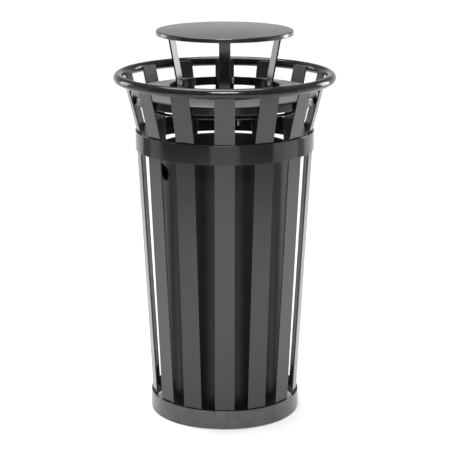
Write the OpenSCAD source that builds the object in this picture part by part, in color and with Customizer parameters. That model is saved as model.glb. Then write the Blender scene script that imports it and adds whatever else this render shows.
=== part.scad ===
// Round slatted steel litter bin: an open frame of welded flat bars,
// a lift-out plastic liner and a lift-off lid with a rain cap on three legs.
// Origin on the floor at the centre of the base, +Z up, front slat towards -Y.

/* [Frame] */
// Height from the floor to the top of the rim tube
body_h = 962.5; // [850:0.5:1160]
// Outside diameter of the rolled tube rim
rim_dia = 610; // [580:1:740]
// Diameter of the rim tube
rim_tube_dia = 26.7; // [21.3:0.1:33.7]
// Wall of the rim tube
rim_tube_wall = 2.5; // [1.5:0.1:4]
// Height of the flared part, from the waist band's top edge to the rim tube's centre
flare_h = 145; // [110:1:190]
// Outside diameter of the waist band
waist_dia = 493; // [410:1:540]
// Height of the waist band
waist_band_h = 52; // [30:1:80]
// Outside diameter of the base band
base_dia = 418; // [360:1:500]
// Height of the base band
base_band_h = 49; // [36:1:80]
// Thickness of both bands
band_t = 4; // [2:0.5:8]

/* [Slats] */
// Number of slats; the nodes are named from this count
slat_count = 14; // [8:1:18]
// Width of a slat
slat_w = 54; // [30:1:70]
// Thickness of a slat
slat_t = 4; // [2.5:0.5:8]
// Height of a slat's upper end above the rim tube's centre
slat_over = 2; // [0:0.5:6]
// Most that a slat may end short of its touch line on the rim tube
slat_short = 2; // [0:0.5:4]
// Gap between a slat's lower end and the base spider
slat_foot_gap = 5; // [2:0.5:12]

/* [Base] */
// Gap between the floor and the base band
floor_gap = 4; // [2:0.5:10]
// Height of the nylon glides
glide_h = 8; // [5:0.5:16]
// Diameter of the nylon glides
glide_dia = 34; // [20:1:40]
// Distance of the glides from the band's inner face, centre to face
glide_inset = 23; // [20:0.5:30]
// Plate thickness of the base spider
spider_t = 6; // [4:0.5:10]
// Width of a spider arm
arm_w = 44; // [30:1:70]
// Diameter of the spider's hub
hub_dia = 120; // [60:1:180]
// Diameter of the floor anchor hole in the hub
anchor_dia = 14; // [8:0.5:20]

/* [Liner] */
// Gap between the liner's lip and the slats at the waist
liner_gap_top = 50; // [8:0.5:60]
// Gap between the liner's wall and the slats at the base
liner_gap_base = 38; // [6:0.5:60]
// Distance of the liner's top edge below the waist band's top edge
liner_drop = 46; // [-10:1:80]
// Wall of the liner
liner_t = 3; // [2:0.5:5]
// Width of the liner's turned-over lip
lip_w = 9; // [7:0.5:16]
// Depth of the liner's turned-over lip
lip_h = 16; // [8:0.5:30]
// Clear space under the liner for the anchor bolt's head
anchor_room_h = 20; // [8:1:40]
// Diameter of that clear space
anchor_room_dia = 90; // [50:1:140]
// Width of a hand hole
hand_w = 98; // [80:1:110]
// Height of a hand hole
hand_h = 43; // [30:1:60]
// Distance of a hand hole's centre below the liner's top edge
hand_drop = 65; // [45:1:120]
// Bearing of the first hand hole; the second is opposite
hand_bearing = 194; // [0:1:359]

/* [Lid] */
// Depth of the lid deck's top face below the rim tube's centre
deck_drop = 39.5; // [30:0.5:60]
// Sheet thickness of the deck and the cap
sheet_t = 2; // [1.2:0.1:3]
// Depth of the deck's skirt
skirt_h = 24.5; // [16:0.5:28]
// Outside radius of the rounded corner between the deck and its skirt
deck_round = 6; // [4:0.5:11]
// Height of the rolled hem along the skirt's lower edge
hem_h = 4; // [3:0.5:8]
// Inside diameter of the throw-in collar
throat_dia = 299; // [240:1:370]
// Sheet thickness of the collar
collar_t = 3; // [2:0.5:5]
// Height of the collar above the deck
collar_up = 16; // [16:0.5:40]
// Depth of the collar below the deck's top face
collar_down = 7; // [3:0.5:14]
// Rod diameter of the lid's underside ring
ring_rod_dia = 8; // [5:0.5:12]
// Gap between that ring and the skirt
ring_inset = 24; // [6:0.5:40]
// Drop from the deck's top face to the ring's centre
ring_drop = 37; // [26:1:60]
// Width of a ring hanger
hanger_w = 20; // [12:1:30]
// Thickness of a ring hanger
hanger_t = 4; // [2:0.5:6]

/* [Rain cap] */
// Height of the throw-in windows, from the collar's top edge to the cap's lip
window_h = 139.5; // [100:0.5:200]
// Outside diameter of the rain cap
cap_dia = 375; // [330:1:460]
// Depth of the cap's turned-down lip
cap_lip_h = 12; // [5:0.5:20]
// Rise of the cap's crown above its edge
cap_crown = 4; // [1:0.5:20]
// Width of a cap leg
leg_w = 30; // [22:1:40]
// Thickness of a cap leg
leg_t = 5; // [3:0.5:8]
// Distance from the cap's edge to the outer face of a leg's top
leg_inset = 8; // [6:0.5:30]
// Length of a leg's top tab under the cap
tab_len = 36; // [26:1:50]

/* [Fasteners] */
// Thread diameter of the screws, bolts and studs
bolt_dia = 6; // [5:0.5:8]
// Width across the flats of a nut
nut_af = 10; // [8:0.5:13]
// Height of a nut
nut_h = 5; // [4:0.5:8]
// Inside radius of a cable eye
eye_r = 5; // [4:0.5:9]
// Wire diameter of a cable eye
eye_wire = 4; // [3:0.5:6]
// Bearing of the two cable eyes
eye_bearing = 80; // [79:0.5:82]
// Depth of the waist's cable eye below the waist band's top edge
eye_drop = 26; // [12:1:40]

/* [Hidden] */
$fn = 96;
// Gap between welded or seated pieces
seat_gap = 0.2;
// Gap between the lid's skirt and the slats it rests between
lid_gap = 0.5;
// Gap between the liner's underside and the spider
liner_seat = 0.3;
// Radial gap round a bolt in its hole, and round a thread in its nut
hole_gap = 0.3;
thread_gap = 0.1;
// Bolt head sizes
head_dia = 11;
head_h = 3.3;
flange_dia = 13;
flange_t = 1.4;
// Length of a bolt that shows past its nut
bolt_show = 2;

steel_black = [0.17, 0.17, 0.18];
cap_black = [0.22, 0.22, 0.23];
plastic_black = [0.10, 0.10, 0.11];
nylon_grey = [0.25, 0.25, 0.26];
zinc = [0.62, 0.63, 0.65];

leg_count = 3;
glide_count = 4;
hanger_count = 3;
leg_bearing = -90;
hanger_bearing = -30;
glide_bearing = 45;
hand_bearings = [hand_bearing, hand_bearing + 180];

// Distance from the axis to a flat bar of width w that is seated inside radius r
function seat_r(r, w) = sqrt(r * r - w * w / 4) - seat_gap;
// Point at thickness t inside corner p, between stretches that lean a and b from upright
function inner_pt(p, a, b, t) =
    p + t / cos((a - b) / 2) * [-cos((a + b) / 2), sin((a + b) / 2)];
// Place a shape at bearing a, radius r and height z, its own +Z pointing outwards
module outward(a, r, z) {
    rotate([0, 0, a]) translate([r, 0, z]) rotate([0, 90, 0]) children();
}

// Levels
rim_z = body_h - rim_tube_dia / 2;
waist_top = rim_z - flare_h;
waist_bottom = waist_top - waist_band_h;
base_top = floor_gap + base_band_h;
spider_z = glide_h;
spider_top = spider_z + spider_t;
slat_foot = spider_top + slat_foot_gap;
liner_z = spider_top + liner_seat;
liner_top = waist_top - liner_drop;
deck_z = rim_z - deck_drop;
collar_top = deck_z + collar_up;
collar_bottom = deck_z - collar_down;
ring_z = deck_z - ring_drop;
cap_lip_z = collar_top + window_h;
cap_edge_z = cap_lip_z + cap_lip_h;

// Radii of the frame
rim_r = rim_dia / 2 - rim_tube_dia / 2;
waist_in_r = waist_dia / 2 - band_t;
base_in_r = base_dia / 2 - band_t;
slat_waist_r = seat_r(waist_in_r, slat_w);
slat_base_r = seat_r(base_in_r, slat_w);
glide_r = base_in_r - glide_inset;

// The flare touches the rim tube's inner side along the slat's edges
rim_near = [sqrt(rim_r * rim_r - slat_w * slat_w / 4), rim_z];
flare_foot = [slat_waist_r, waist_top];
rim_reach = rim_tube_dia / 2 * rim_r / rim_near[0] + seat_gap;
flare_a = atan2(rim_near[0] - flare_foot[0], flare_h) - asin(rim_reach / norm(rim_near - flare_foot));
body_a = atan2(slat_waist_r - slat_base_r, waist_bottom - base_top);
rim_touch = rim_reach * sin(flare_a);
slat_end_z = rim_z + max(slat_over, rim_touch - slat_short);
slat_end = [slat_waist_r + (slat_end_z - waist_top) * tan(flare_a), slat_end_z];
// Inner face of the flared slats at height z
function flare_in_r(z) = slat_waist_r + (z - waist_top) * tan(flare_a) - slat_t / cos(flare_a);

// Radii of the liner
liner_lip_r = slat_waist_r - slat_t - liner_gap_top;
liner_top_r = liner_lip_r - lip_w;
liner_base_r = slat_base_r - slat_t - liner_gap_base;
liner_edge = 8;
room_r = anchor_room_dia / 2;

// Radii of the lid
skirt_z = deck_z - skirt_h;
skirt_r = flare_in_r(skirt_z) - lid_gap;
throat_r = throat_dia / 2;
collar_out_r = throat_r + collar_t;
ring_r = skirt_r - ring_inset - ring_rod_dia / 2;
hanger_r = seat_r(ring_r - ring_rod_dia / 2, hanger_w);
hanger_foot = ring_z - ring_rod_dia / 2;

// Cap and legs
cap_r = cap_dia / 2;
function cap_top_z(r) = cap_edge_z + cap_crown * (1 - pow(r / cap_r, 2));
function cap_under_z(r) = cap_top_z(r) - sheet_t;
leg_foot_r = seat_r(throat_r, leg_w);
leg_top_r = cap_r - leg_inset;
leg_foot = collar_bottom + 1;
leg_bend = collar_top + 4;
tab_z = cap_under_z(leg_top_r) - seat_gap;
leg_a = atan2(leg_top_r - leg_foot_r, tab_z - leg_bend);
stud_r = leg_top_r - tab_len / 2 - leg_t / 2;
stud_top = cap_under_z(stud_r + bolt_dia / 2) - 0.1;
tab_under = tab_z - leg_t;
nut_stack = nut_h + flange_t;
collar_bolt_z = collar_top - flange_dia / 2 - 3;

// Cable eyes
eye_out_r = eye_r + eye_wire;
waist_eye_z = waist_top - eye_drop;
lid_eye_z = collar_bolt_z;

function slat_name(i) = str("slat_", i < 10 ? "0" : "", i);
function numbered(word, i) = str(word, "_", i);

// ---- Shared hardware, drawn along +Z ----

// Shank with a low round head; the head's underside is at z = 0 and the shank runs up
module button_bolt(length) {
    cylinder(d = bolt_dia, h = length);
    translate([0, 0, -head_h]) intersection() {
        cylinder(d = head_dia, h = head_h);
        translate([0, 0, head_dia * 0.62]) sphere(r = head_dia * 0.62 + 0.02);
    }
}

// Hexagon nut on a round flange; the flange's seat is at z = 0
module flange_nut() {
    difference() {
        union() {
            cylinder(d = flange_dia, h = flange_t);
            translate([0, 0, flange_t]) cylinder(d = nut_af / cos(30), h = nut_h, $fn = 6);
        }
        translate([0, 0, -1]) cylinder(d = bolt_dia + 2 * thread_gap, h = nut_stack + 2);
    }
}

// Cable eye below z = 0 and its shank above
module eye_bolt(length) {
    translate([0, 0, -eye_out_r - eye_wire / 2]) rotate([90, 0, 0])
        rotate_extrude() translate([eye_r + eye_wire / 2, 0]) circle(d = eye_wire);
    translate([0, 0, -eye_wire]) cylinder(d = bolt_dia, h = length + eye_wire);
}

module hoop(r_out, t, h) {
    difference() {
        cylinder(r = r_out, h = h);
        translate([0, 0, -1]) cylinder(r = r_out - t, h = h + 2);
    }
}

module hole(d, length) {
    translate([0, 0, -length / 2]) cylinder(d = d, h = length);
}

// ---- Frame ----

module rim_tube() {
    color(steel_black) rotate_extrude() translate([rim_r, rim_z]) difference() {
        circle(d = rim_tube_dia);
        circle(d = rim_tube_dia - 2 * rim_tube_wall);
    }
}

module waist_band() {
    color(steel_black) difference() {
        translate([0, 0, waist_bottom]) hoop(waist_dia / 2, band_t, waist_band_h);
        outward(eye_bearing, waist_in_r, waist_eye_z) hole(bolt_dia + 2 * hole_gap, 20);
    }
}

module base_band() {
    color(steel_black) translate([0, 0, floor_gap]) hoop(base_dia / 2, band_t, base_band_h);
}

// Flat bar bent at both bands and flared out to the rim
module slat(i) {
    low = [slat_base_r, slat_foot];
    low_bend = [slat_base_r, base_top];
    high_bend = [slat_waist_r, waist_bottom];
    face = [low, low_bend, high_bend, flare_foot, slat_end];
    lean = [0, 0, body_a, 0, flare_a, flare_a];
    back = [for (k = [0:4]) inner_pt(face[k], lean[k], lean[k + 1], slat_t)];
    outline = concat(face, [for (k = [4:-1:0]) back[k]]);
    color(steel_black) rotate([0, 0, -90 + (i - 1) * 360 / slat_count]) rotate([90, 0, 0])
        linear_extrude(slat_w, center = true) polygon(outline);
}

// Cross of flat plate that carries the liner, with the floor anchor hole in its hub
module base_spider() {
    arm_r = seat_r(base_in_r, arm_w);
    color(steel_black) translate([0, 0, spider_z]) linear_extrude(spider_t) difference() {
        union() {
            circle(d = hub_dia);
            for (a = [0, 90]) rotate(glide_bearing + a) square([2 * arm_r, arm_w], center = true);
        }
        circle(d = anchor_dia);
        for (i = [1:glide_count]) rotate(glide_turn(i)) translate([glide_r, 0])
            circle(d = bolt_dia + 2 * hole_gap);
    }
}

function glide_turn(i) = glide_bearing + (i - 1) * 360 / glide_count;
screw_in = glide_h - 3;

// Nylon foot with a blind hole for its screw
module glide(i) {
    rim = 2;
    color(nylon_grey) rotate([0, 0, glide_turn(i)]) translate([glide_r, 0, 0]) difference() {
        union() {
            cylinder(d1 = glide_dia - 2 * rim, d2 = glide_dia, h = rim);
            translate([0, 0, rim]) cylinder(d = glide_dia, h = glide_h - rim - 0.1);
        }
        translate([0, 0, glide_h - screw_in - 1]) cylinder(d = bolt_dia + 2 * thread_gap, h = glide_h);
    }
}

module glide_screws() {
    color(zinc) for (i = [1:glide_count])
        rotate([0, 0, glide_turn(i)]) translate([glide_r, 0, spider_top + 0.1])
            rotate([180, 0, 0]) button_bolt(spider_t + screw_in);
}

module waist_eye_bolt() {
    length = band_t + nut_stack + bolt_show;
    color(zinc) outward(eye_bearing, waist_in_r - seat_gap, waist_eye_z) eye_bolt(length);
}

module waist_eye_nut() {
    color(zinc) outward(eye_bearing, waist_dia / 2 + 0.1, waist_eye_z) flange_nut();
}

// ---- Liner ----

module liner_wall() {
    step = 6;
    rotate_extrude() polygon([
        [0, liner_z + anchor_room_h], [room_r, liner_z + anchor_room_h],
        [room_r + step, liner_z], [liner_base_r - liner_edge, liner_z],
        [liner_base_r, liner_z + liner_edge], [liner_top_r, liner_top - liner_t],
        [liner_lip_r - liner_t, liner_top - liner_t], [liner_lip_r - liner_t, liner_top - lip_h],
        [liner_lip_r, liner_top - lip_h], [liner_lip_r, liner_top],
        [liner_top_r - liner_t, liner_top], [liner_base_r - liner_t, liner_z + liner_edge + 1],
        [liner_base_r - liner_edge - 1, liner_z + liner_t], [room_r + step + 2, liner_z + liner_t],
        [room_r + 2, liner_z + anchor_room_h + liner_t], [0, liner_z + anchor_room_h + liner_t]
    ]);
}

// Round-ended slot that runs outwards from the axis
module hand_hole(a) {
    flat = hand_w - hand_h;
    rotate([0, 0, a]) translate([liner_base_r / 2, 0, liner_top - hand_drop])
        rotate([90, 0, 90]) linear_extrude(liner_lip_r) {
            square([flat, hand_h], center = true);
            for (s = [-1, 1]) translate([s * flat / 2, 0]) circle(d = hand_h);
        }
}

module liner() {
    color(plastic_black) difference() {
        liner_wall();
        for (a = hand_bearings) hand_hole(a);
    }
}

// ---- Lid ----

// Flat ring of sheet; the hem of its skirt sits between the flared slats
module lid_deck() {
    in_r = collar_out_r + seat_gap;
    hem_t = 2 * sheet_t;
    hem_z = skirt_z + hem_h;
    bend = [skirt_r - deck_round, deck_z - deck_round];
    bend_in = deck_round - sheet_t;
    turn = [for (a = [0:15:90]) [cos(a), sin(a)]];
    top = [for (d = turn) bend + deck_round * d];
    under = [for (k = [len(turn) - 1:-1:0]) bend + bend_in * turn[k]];
    hem = [
        [skirt_r - sheet_t, hem_z + 1], [skirt_r - hem_t, hem_z],
        [skirt_r - hem_t, skirt_z], [skirt_r, skirt_z]
    ];
    rim = [[in_r, deck_z], [in_r, deck_z - sheet_t]];
    color(steel_black) rotate_extrude() polygon(concat(top, rim, under, hem));
}

module lid_collar() {
    color(steel_black) difference() {
        translate([0, 0, collar_bottom]) hoop(collar_out_r, collar_t, collar_top - collar_bottom);
        for (i = [1:leg_count]) outward(leg_turn(i), throat_r, collar_bolt_z)
            hole(bolt_dia + 2 * hole_gap, 20);
        outward(eye_bearing, throat_r, lid_eye_z) hole(bolt_dia + 2 * hole_gap, 20);
    }
}

module lid_ring() {
    color(steel_black) rotate_extrude() translate([ring_r, ring_z]) circle(d = ring_rod_dia);
}

// Short strap from the deck's underside to the inner side of the ring
module ring_hanger(i) {
    top = deck_z - sheet_t - seat_gap;
    color(steel_black) rotate([0, 0, hanger_bearing + (i - 1) * 360 / hanger_count])
        translate([hanger_r - hanger_t, -hanger_w / 2, hanger_foot])
            cube([hanger_t, hanger_w, top - hanger_foot]);
}

function leg_turn(i) = leg_bearing + (i - 1) * 360 / leg_count;

// Flat bar bolted inside the collar, leaning out to a flat tab under the cap
module cap_leg(i) {
    face = [[leg_foot_r, leg_foot], [leg_foot_r, leg_bend], [leg_top_r, tab_z], [leg_top_r - tab_len, tab_z]];
    lean = [0, 0, leg_a, -90, -90];
    back = [for (k = [0:3]) inner_pt(face[k], lean[k], lean[k + 1], leg_t)];
    outline = concat(face, [for (k = [3:-1:0]) back[k]]);
    color(steel_black) difference() {
        rotate([0, 0, leg_turn(i)]) rotate([90, 0, 0]) linear_extrude(leg_w, center = true) polygon(outline);
        outward(leg_turn(i), leg_foot_r, collar_bolt_z) hole(bolt_dia + 2 * hole_gap, 4 * leg_t);
        rotate([0, 0, leg_turn(i)]) translate([stud_r, 0, tab_z]) hole(bolt_dia + 2 * hole_gap, 4 * leg_t);
    }
}

module collar_bolts() {
    grip = throat_r - leg_foot_r + leg_t + collar_t;
    color(zinc) for (i = [1:leg_count])
        outward(leg_turn(i), leg_foot_r - leg_t - 0.1, collar_bolt_z)
            button_bolt(grip + nut_stack + bolt_show);
}

module collar_nuts() {
    color(zinc) for (i = [1:leg_count])
        outward(leg_turn(i), collar_out_r + 0.1, collar_bolt_z) flange_nut();
}

// Shallow dished disc with a turned-down lip
module rain_cap() {
    steps = 12;
    in_r = cap_r - sheet_t;
    top = [for (k = [0:steps]) [cap_r * k / steps, cap_top_z(cap_r * k / steps)]];
    under = [for (k = [steps:-1:0]) [in_r * k / steps, cap_under_z(in_r * k / steps)]];
    color(cap_black) rotate_extrude()
        polygon(concat(top, [[cap_r, cap_lip_z], [in_r, cap_lip_z]], under));
}

module cap_studs() {
    length = stud_top - tab_under + nut_stack + bolt_show;
    color(zinc) for (i = [1:leg_count])
        rotate([0, 0, leg_turn(i)]) translate([stud_r, 0, stud_top - length]) cylinder(d = bolt_dia, h = length);
}

module cap_nuts() {
    color(zinc) for (i = [1:leg_count])
        rotate([0, 0, leg_turn(i)]) translate([stud_r, 0, tab_under - 0.1]) rotate([180, 0, 0]) flange_nut();
}

module lid_eye_bolt() {
    length = collar_t + nut_stack + bolt_show;
    color(zinc) outward(eye_bearing, throat_r - seat_gap, lid_eye_z) eye_bolt(length);
}

module lid_eye_nut() {
    color(zinc) outward(eye_bearing, collar_out_r + 0.1, lid_eye_z) flange_nut();
}

rim_tube();
waist_band();
base_band();
base_spider();
for (i = [1:slat_count]) slat(i);
for (i = [1:glide_count]) glide(i);
glide_screws();
waist_eye_bolt();
waist_eye_nut();
liner();
lid_deck();
lid_collar();
lid_ring();
for (i = [1:hanger_count]) ring_hanger(i);
for (i = [1:leg_count]) cap_leg(i);
collar_bolts();
collar_nuts();
rain_cap();
cap_studs();
cap_nuts();
lid_eye_bolt();
lid_eye_nut();
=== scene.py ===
import math
import random

import bpy
import bmesh
from mathutils import Matrix, Vector


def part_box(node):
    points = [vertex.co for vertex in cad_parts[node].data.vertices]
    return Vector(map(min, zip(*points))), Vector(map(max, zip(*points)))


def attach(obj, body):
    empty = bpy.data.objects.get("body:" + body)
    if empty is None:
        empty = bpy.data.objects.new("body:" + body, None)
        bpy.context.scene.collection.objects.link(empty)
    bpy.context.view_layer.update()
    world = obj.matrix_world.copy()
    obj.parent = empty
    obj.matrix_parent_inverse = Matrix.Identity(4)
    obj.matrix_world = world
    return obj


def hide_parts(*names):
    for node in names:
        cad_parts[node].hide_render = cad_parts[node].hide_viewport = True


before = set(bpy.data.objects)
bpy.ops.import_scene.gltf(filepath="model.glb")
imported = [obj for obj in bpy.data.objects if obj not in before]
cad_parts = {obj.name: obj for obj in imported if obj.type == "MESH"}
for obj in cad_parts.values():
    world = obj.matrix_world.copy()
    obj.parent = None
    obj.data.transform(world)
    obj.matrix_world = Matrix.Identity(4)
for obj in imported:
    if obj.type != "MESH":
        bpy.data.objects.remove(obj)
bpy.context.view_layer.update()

scene = bpy.context.scene
print("frame loaded:", len(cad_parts), "nodes")


# sizes read from the frame, in metres

def outerRadius(node):
    low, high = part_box(node)
    return (high[0] - low[0]) / 2


def heights(node):
    low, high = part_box(node)
    return low[2], high[2]


def midOf(node):
    low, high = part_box(node)
    return [(a + b) / 2 for a, b in zip(low, high)]


def seatRadius(radius, width, gap):
    return math.sqrt(radius * radius - width * width / 4) - gap  # flat bar seated inside a round hoop


def nodeNames(start):
    return sorted(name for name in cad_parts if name.startswith(start))


# mesh helpers

def newObject(name, verts, faces, body, slotName, material, replaced=()):
    mesh = bpy.data.meshes.new(name)
    mesh.from_pydata([tuple(v) for v in verts], [], faces)
    mesh.validate()
    bm = bmesh.new()
    bm.from_mesh(mesh)
    bmesh.ops.recalc_face_normals(bm, faces=bm.faces)
    bm.to_mesh(mesh)
    bm.free()
    for face in mesh.polygons:
        face.use_smooth = True
    piece = bpy.data.objects.new(name, mesh)
    scene.collection.objects.link(piece)
    piece.data.materials.append(material)
    weighted = piece.modifiers.new("evenShading", "WEIGHTED_NORMAL")
    weighted.mode = "FACE_AREA"
    weighted.keep_sharp = True
    if replaced:
        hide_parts(*replaced)
    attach(piece, body)
    return piece


def joinParts(parts):
    verts, faces = [], []
    for partVerts, partFaces in parts:
        base = len(verts)
        verts += partVerts
        faces += [tuple(i + base for i in face) for face in partFaces]
    return verts, faces


def turned(part, bearing, radius=0.0, height=0.0):
    spin = Matrix.Translation((0, 0, height)) @ Matrix.Rotation(math.radians(bearing), 4, "Z")
    place = spin @ Matrix.Translation((radius, 0, 0))
    return [place @ Vector(v) for v in part[0]], part[1]


def outwards(part, bearing, radius, height):
    tip = Matrix.Rotation(math.radians(90), 4, "Y")
    return turned(([tip @ Vector(v) for v in part[0]], part[1]), bearing, radius, height)


def gridFaces(rings, points, closeRings, closePoints):
    faces = []
    for i in range(rings if closeRings else rings - 1):
        for j in range(points if closePoints else points - 1):
            a, b = i * points + j, i * points + (j + 1) % points
            c, d = ((i + 1) % rings) * points + (j + 1) % points, ((i + 1) % rings) * points + j
            faces.append((a, b, c, d))
    return faces


def revolve(profile, segments, closed=True):
    # profile is a list of (r, z); an open one starts and ends on the axis
    onAxis = [] if closed else [profile[0], profile[-1]]
    body = profile if closed else profile[1:-1]
    verts = []
    for i in range(segments):
        a = 2 * math.pi * i / segments
        verts += [Vector((r * math.cos(a), r * math.sin(a), z)) for r, z in body]
    count = len(body)
    faces = gridFaces(segments, count, True, closed)
    for k, (r, z) in enumerate(onAxis):
        hub = len(verts)
        verts.append(Vector((0, 0, z)))
        edge = 0 if k == 0 else count - 1
        faces += [(hub, i * count + edge, ((i + 1) % segments) * count + edge) for i in range(segments)]
    return verts, faces


def arcPoints(cx, cz, radius, start, end, steps):
    angles = [math.radians(start + (end - start) * k / steps) for k in range(steps + 1)]
    return [(cx + radius * math.cos(a), cz + radius * math.sin(a)) for a in angles]


def roundedBox(x0, z0, x1, z1, radius, steps=4):
    r = radius
    return (arcPoints(x1 - r, z0 + r, r, -90, 0, steps) + arcPoints(x1 - r, z1 - r, r, 0, 90, steps)
            + arcPoints(x0 + r, z1 - r, r, 90, 180, steps) + arcPoints(x0 + r, z0 + r, r, 180, 270, steps))


def bentPath(corners, radii, steps=7):
    # rounds each inner corner of a (r, z) path and gives (r, z, lean) stations
    stations = []
    for k, corner in enumerate(corners):
        here = Vector(corner)
        if k in (0, len(corners) - 1):
            other = Vector(corners[1]) if k == 0 else Vector(corners[-2])
            along = (other - here) if k == 0 else (here - other)
            stations.append((here.x, here.y, math.atan2(along.x, along.y)))
            continue
        back, ahead = Vector(corners[k - 1]) - here, Vector(corners[k + 1]) - here
        leanIn, leanOut = math.atan2(-back.x, -back.y), math.atan2(ahead.x, ahead.y)
        turn = leanOut - leanIn
        reach = radii[k] * math.tan(abs(turn) / 2)
        for i in range(steps + 1):
            lean = leanIn + turn * i / steps
            side = 1 if turn > 0 else -1
            centre = here - reach * Vector((math.sin(leanIn), math.cos(leanIn)))
            centre += side * radii[k] * Vector((math.cos(leanIn), -math.sin(leanIn)))
            point = centre + side * radii[k] * Vector((-math.cos(lean), math.sin(lean)))
            stations.append((point.x, point.y, lean))
    return stations


def sweepBar(stations, width, thick, edge, bearing, spacing=0.06):
    # the path is the bar's outer face; thickness grows inwards
    dense = [stations[0]]
    for r, z, lean in stations[1:]:
        r0, z0, lean0 = dense[-1]
        gap = math.hypot(r - r0, z - z0)
        parts = max(1, int(gap / spacing)) if abs(lean - lean0) < 0.001 else 1
        dense += [(r0 + (r - r0) * k / parts, z0 + (z - z0) * k / parts, lean) for k in range(1, parts + 1)]
    capSteps = 3    # rings in the rounding of each end
    insets = [edge * (1 - math.sin(math.radians(90 * k / capSteps))) for k in range(capSteps + 1)]
    start = [(dense[0], inset, edge * (1 - math.sqrt(max(0.0, 1 - (inset / edge) ** 2)))) for inset in insets]
    body = [(station, 0.0, 0.0) for station in dense[1:-1]]
    finish = [(dense[-1], inset, -shift) for station, inset, shift in reversed(start)]
    verts, count = [], 0
    for (r, z, lean), inset, shift in start + body + finish:
        section = roundedBox(-width / 2 + inset, inset, width / 2 - inset, thick - inset, max(edge - inset, 1e-5))
        count = len(section)
        for s, d in section:
            x = r - d * math.cos(lean) + shift * math.sin(lean)
            verts.append(Vector((x, s, z + d * math.sin(lean) + shift * math.cos(lean))))
    total = len(verts) // count
    faces = gridFaces(total, count, False, True)
    faces.append(tuple(range(count)))
    faces.append(tuple(range((total - 1) * count, total * count)))
    return turned((verts, faces), bearing)


def sweepTube(points, radii, sides):
    verts = []
    side = None
    for k, point in enumerate(points):
        ahead = points[min(k + 1, len(points) - 1)] - points[max(k - 1, 0)]
        ahead.normalize()
        if side is None:
            side = ahead.orthogonal().normalized()
        side = (side - side.dot(ahead) * ahead).normalized()
        up = ahead.cross(side)
        for j in range(sides):
            a = 2 * math.pi * j / sides
            verts.append(point + radii[k] * (math.cos(a) * side + math.sin(a) * up))
    faces = gridFaces(len(points), sides, False, True)
    faces.append(tuple(range(sides)))
    faces.append(tuple(range((len(points) - 1) * sides, len(points) * sides)))
    return verts, faces


def weldBead(start, end, look, chance):
    length = (end - start).length
    steps = max(8, int(length / look["ripple"] * 6))
    points, radii = [], []
    for k in range(steps + 1):
        t = k / steps
        wobble = Vector([chance.uniform(-1, 1) * look["wander"] for _ in range(3)])
        points.append(start.lerp(end, t) + wobble)
        ends = min(1.0, 0.35 + min(t, 1 - t) * length / look["taper"])
        wave = 1 + look["depth"] * math.sin(2 * math.pi * t * length / look["ripple"])
        radii.append(look["radius"] * ends * wave)
    return sweepTube(points, radii, 8)


# shader node groups and materials

def addSocket(group, name, kind, isInput, value=None):
    way = "INPUT" if isInput else "OUTPUT"
    socket = group.interface.new_socket(name, in_out=way, socket_type=kind)
    if value is not None:
        socket.default_value = value
    return socket


def startGroup(name, inputs, outputs):
    group = bpy.data.node_groups.new(name, "ShaderNodeTree")
    for label, value in inputs:
        addSocket(group, label, "NodeSocketFloat", True, value)
    for label in outputs:
        addSocket(group, label, "NodeSocketFloat", False)
    return group, group.nodes.new("NodeGroupInput"), group.nodes.new("NodeGroupOutput")


def maths(tree, kind, first, second=None, clamp=False):
    node = tree.nodes.new("ShaderNodeMath")
    node.operation = kind
    node.use_clamp = clamp
    for index, value in enumerate((first, second)):
        if value is None:
            continue
        if isinstance(value, (int, float)):
            node.inputs[index].default_value = value
        else:
            tree.links.new(value, node.inputs[index])
    return node.outputs[0]


def noiseAt(tree, scale, detail, rough=0.5, stretch=(1, 1, 1)):
    place = tree.nodes.new("ShaderNodeTexCoord")
    mapping = tree.nodes.new("ShaderNodeMapping")
    mapping.inputs["Scale"].default_value = stretch
    noise = tree.nodes.new("ShaderNodeTexNoise")
    noise.inputs["Detail"].default_value = detail
    noise.inputs["Roughness"].default_value = rough
    tree.links.new(place.outputs["Object"], mapping.inputs["Vector"])
    tree.links.new(mapping.outputs["Vector"], noise.inputs["Vector"])
    if isinstance(scale, (int, float)):
        noise.inputs["Scale"].default_value = scale
    else:
        tree.links.new(scale, noise.inputs["Scale"])
    return noise.outputs["Fac"]


def stepMask(tree, value, low, high):
    node = tree.nodes.new("ShaderNodeMapRange")
    node.interpolation_type = "SMOOTHSTEP"
    node.inputs["From Min"].default_value = low
    node.inputs["From Max"].default_value = high
    tree.links.new(value, node.inputs["Value"])
    return node.outputs["Result"]


def buildOrangePeel():
    # the soft dimples of sprayed and baked powder, with its finer grain and slow changes in film
    group, given, put = startGroup("orangePeel", [("Peel Scale", 420.0), ("Grain", 0.25), ("Waviness", 0.3)],
                                   ["Height", "Mottle"])
    peel = noiseAt(group, given.outputs["Peel Scale"], 1.5)
    fine = noiseAt(group, 2600.0, 2.0)
    wave = noiseAt(group, 9.0, 1.0, stretch=(1, 1, 0.5))
    height = maths(group, "ADD", peel, maths(group, "MULTIPLY", fine, given.outputs["Grain"]))
    height = maths(group, "ADD", height, maths(group, "MULTIPLY", wave, given.outputs["Waviness"]))
    group.links.new(height, put.inputs["Height"])
    group.links.new(noiseAt(group, 34.0, 4.0, 0.6), put.inputs["Mottle"])
    return group


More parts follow.
